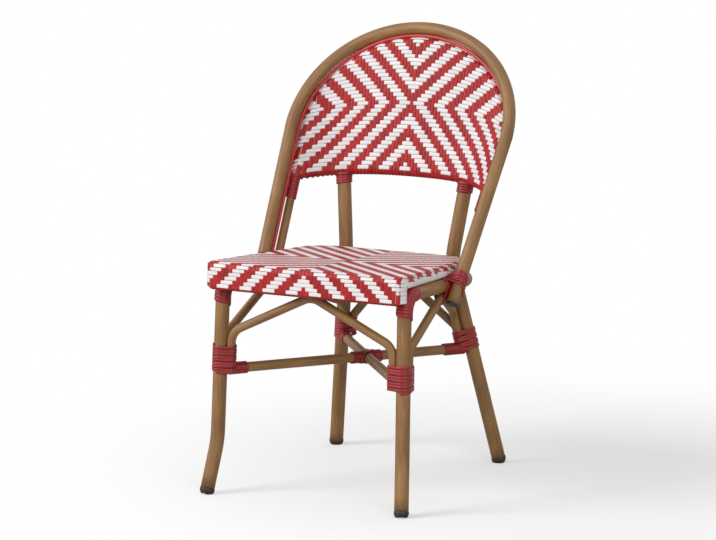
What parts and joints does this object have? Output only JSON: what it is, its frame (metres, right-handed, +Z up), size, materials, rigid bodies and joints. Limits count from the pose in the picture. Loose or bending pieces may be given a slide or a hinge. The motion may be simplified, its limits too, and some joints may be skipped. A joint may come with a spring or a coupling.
{
  "type": "rattan bistro chair",
  "caption": "Cafe side chair of bent tube painted like cane, with a tall leaning hoop, a bowed woven back, a woven seat with a front apron, arched braces and crossed stretchers.",
  "frame": {"origin": "on the floor, at the centre of the bounding box's bottom", "axes": "+Z up, the chair faces -Y, and x = 0 is its plane of symmetry; left and right are as seen from the front, so right is +X"},
  "size_m": [0.5012, 0.5632, 0.886],
  "materials": {
    "cane_paint": "satin paint grained like cane, on aluminium tube",
    "red_cane": "red resin cane, softly glossy",
    "woven_cane": "red and white resin cane, twill woven",
    "black_plastic": "black moulded plastic"
  },
  "bodies": {
    "root": {"front_leg_left": "cane_paint", "rear_leg_left": "cane_paint", "front_leg_right": "cane_paint", "rear_leg_right": "cane_paint", "foot_front_left": "black_plastic", "foot_rear_left": "black_plastic", "foot_front_right": "black_plastic", "foot_rear_right": "black_plastic", "back_hoop": "cane_paint", "hoop_cap_left": "black_plastic", "hoop_cap_right": "black_plastic", "back_panel_frame": "cane_paint", "back_edge_cane": "red_cane", "back_bottom_rail": "cane_paint", "woven_back": "woven_cane", "woven_seat": "woven_cane", "seat_ring": "cane_paint", "apron_rail": "cane_paint", "front_seat_rail": "cane_paint", "rear_seat_rail": "cane_paint", "front_arch_brace": "cane_paint", "rear_arch_brace": "cane_paint", "left_arch_brace": "cane_paint", "right_arch_brace": "cane_paint", "stretcher_long": "cane_paint", "stretcher_front_half": "cane_paint", "stretcher_rear_half": "cane_paint", "leg_lashing_front_left": "red_cane", "leg_lashing_rear_left": "red_cane", "leg_lashing_front_right": "red_cane", "leg_lashing_rear_right": "red_cane", "stretcher_lashing_front_left": "red_cane", "stretcher_lashing_rear_right": "red_cane", "stretcher_lashing_front_right": "red_cane", "stretcher_lashing_rear_left": "red_cane", "cross_lashing": "red_cane", "elbow_wrap_left": "red_cane", "elbow_wrap_right": "red_cane", "hoop_lashing_left": "red_cane", "hoop_lashing_right": "red_cane", "post_wrap_left": "red_cane", "frame_wrap_left": "red_cane", "post_wrap_right": "red_cane", "frame_wrap_right": "red_cane"}
  },
  "joints": []
}
